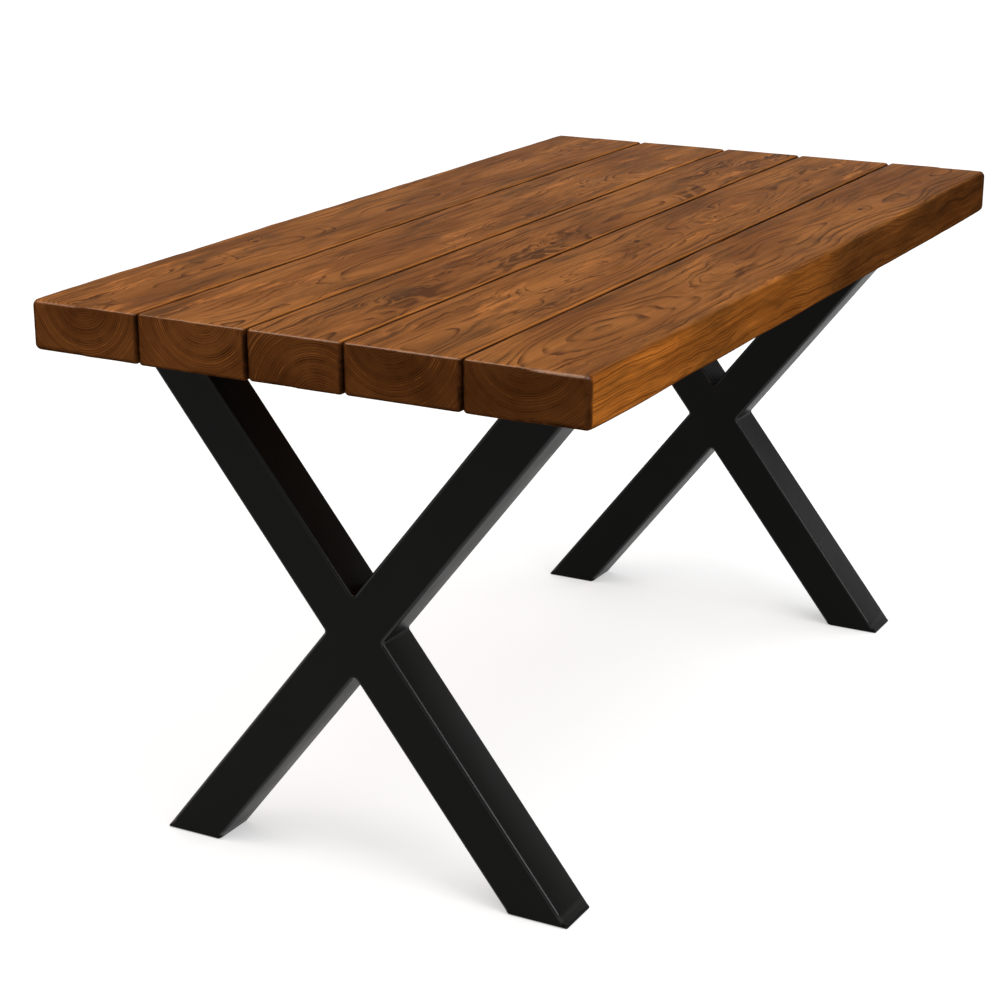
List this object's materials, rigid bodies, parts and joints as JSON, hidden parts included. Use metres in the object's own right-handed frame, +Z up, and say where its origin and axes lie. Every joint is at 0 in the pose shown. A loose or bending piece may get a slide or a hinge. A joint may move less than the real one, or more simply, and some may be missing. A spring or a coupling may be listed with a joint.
{
  "type": "sawbuck table",
  "caption": "Dining table with a plank top of thick stained softwood boards on crossed box-section steel legs.",
  "frame": {"origin": "on the floor under the middle of the top", "axes": "+X along the boards, +Y across the table from the front long side to the rear one, +Z up"},
  "size_m": [1.5, 0.8, 0.78],
  "materials": {
    "stained_softwood": "stained warm brown, satin varnish",
    "beech": "bare, planed",
    "black_powder_coat": "black powder coat, fine texture, satin",
    "black_rubber": "matt",
    "zinc_steel": "bright zinc plating"
  },
  "bodies": {
    "root": {"front_edge_board": "stained_softwood", "front_inner_board": "stained_softwood", "middle_board": "stained_softwood", "rear_inner_board": "stained_softwood", "rear_edge_board": "stained_softwood", "front_edge_dowels": "beech", "front_middle_dowels": "beech", "rear_middle_dowels": "beech", "rear_edge_dowels": "beech", "left_through_tube": "black_powder_coat", "left_upper_tube": "black_powder_coat", "left_lower_tube": "black_powder_coat", "left_crossing_welds": "black_powder_coat", "left_front_sole_plate": "black_powder_coat", "left_rear_sole_plate": "black_powder_coat", "left_front_floor_pad": "black_rubber", "left_rear_floor_pad": "black_rubber", "left_top_plate": "black_powder_coat", "left_coach_screws": "zinc_steel", "left_washers": "zinc_steel", "right_through_tube": "black_powder_coat", "right_upper_tube": "black_powder_coat", "right_lower_tube": "black_powder_coat", "right_crossing_welds": "black_powder_coat", "right_front_sole_plate": "black_powder_coat", "right_rear_sole_plate": "black_powder_coat", "right_front_floor_pad": "black_rubber", "right_rear_floor_pad": "black_rubber", "right_top_plate": "black_powder_coat", "right_coach_screws": "zinc_steel", "right_washers": "zinc_steel"}
  },
  "joints": []
}
